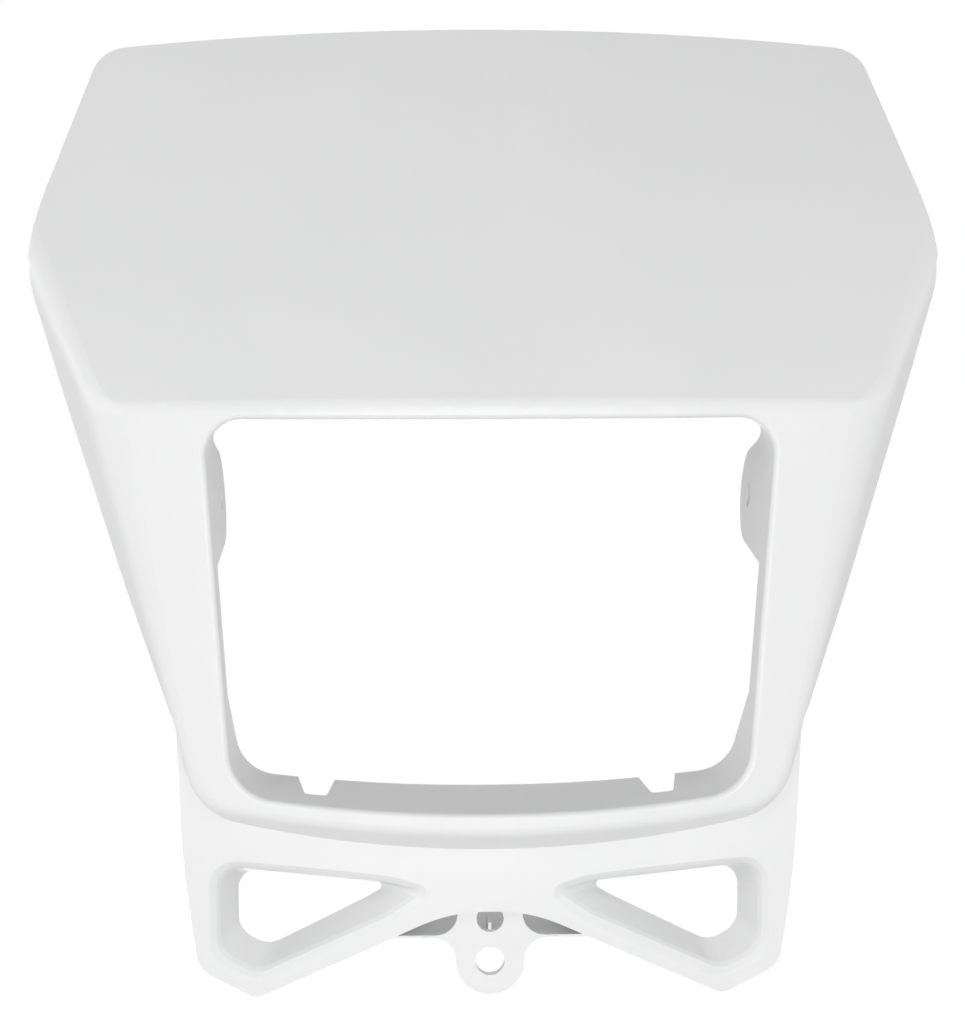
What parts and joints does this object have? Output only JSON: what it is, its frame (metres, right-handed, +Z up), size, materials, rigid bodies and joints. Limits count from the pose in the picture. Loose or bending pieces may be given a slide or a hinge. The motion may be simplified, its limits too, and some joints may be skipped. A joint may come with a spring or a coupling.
{
  "type": "motorcycle headlight fairing",
  "caption": "One-piece moulded motorcycle headlight mask: crowned leaning panel, bowed rim round the lamp opening, pivot ears, open lower grille and a fixing tab.",
  "frame": {"origin": "on the pivot axis through both ears, midway between them", "axes": "+X along the pivot axis, to the right in the front view, -Y to the front, +Z up"},
  "size_m": [0.2706, 0.084, 0.2816],
  "materials": {
    "white_plastic": "white moulded polypropylene, satin with a very fine grain"
  },
  "bodies": {
    "root": {"headlight_fairing": "white_plastic"}
  },
  "joints": []
}
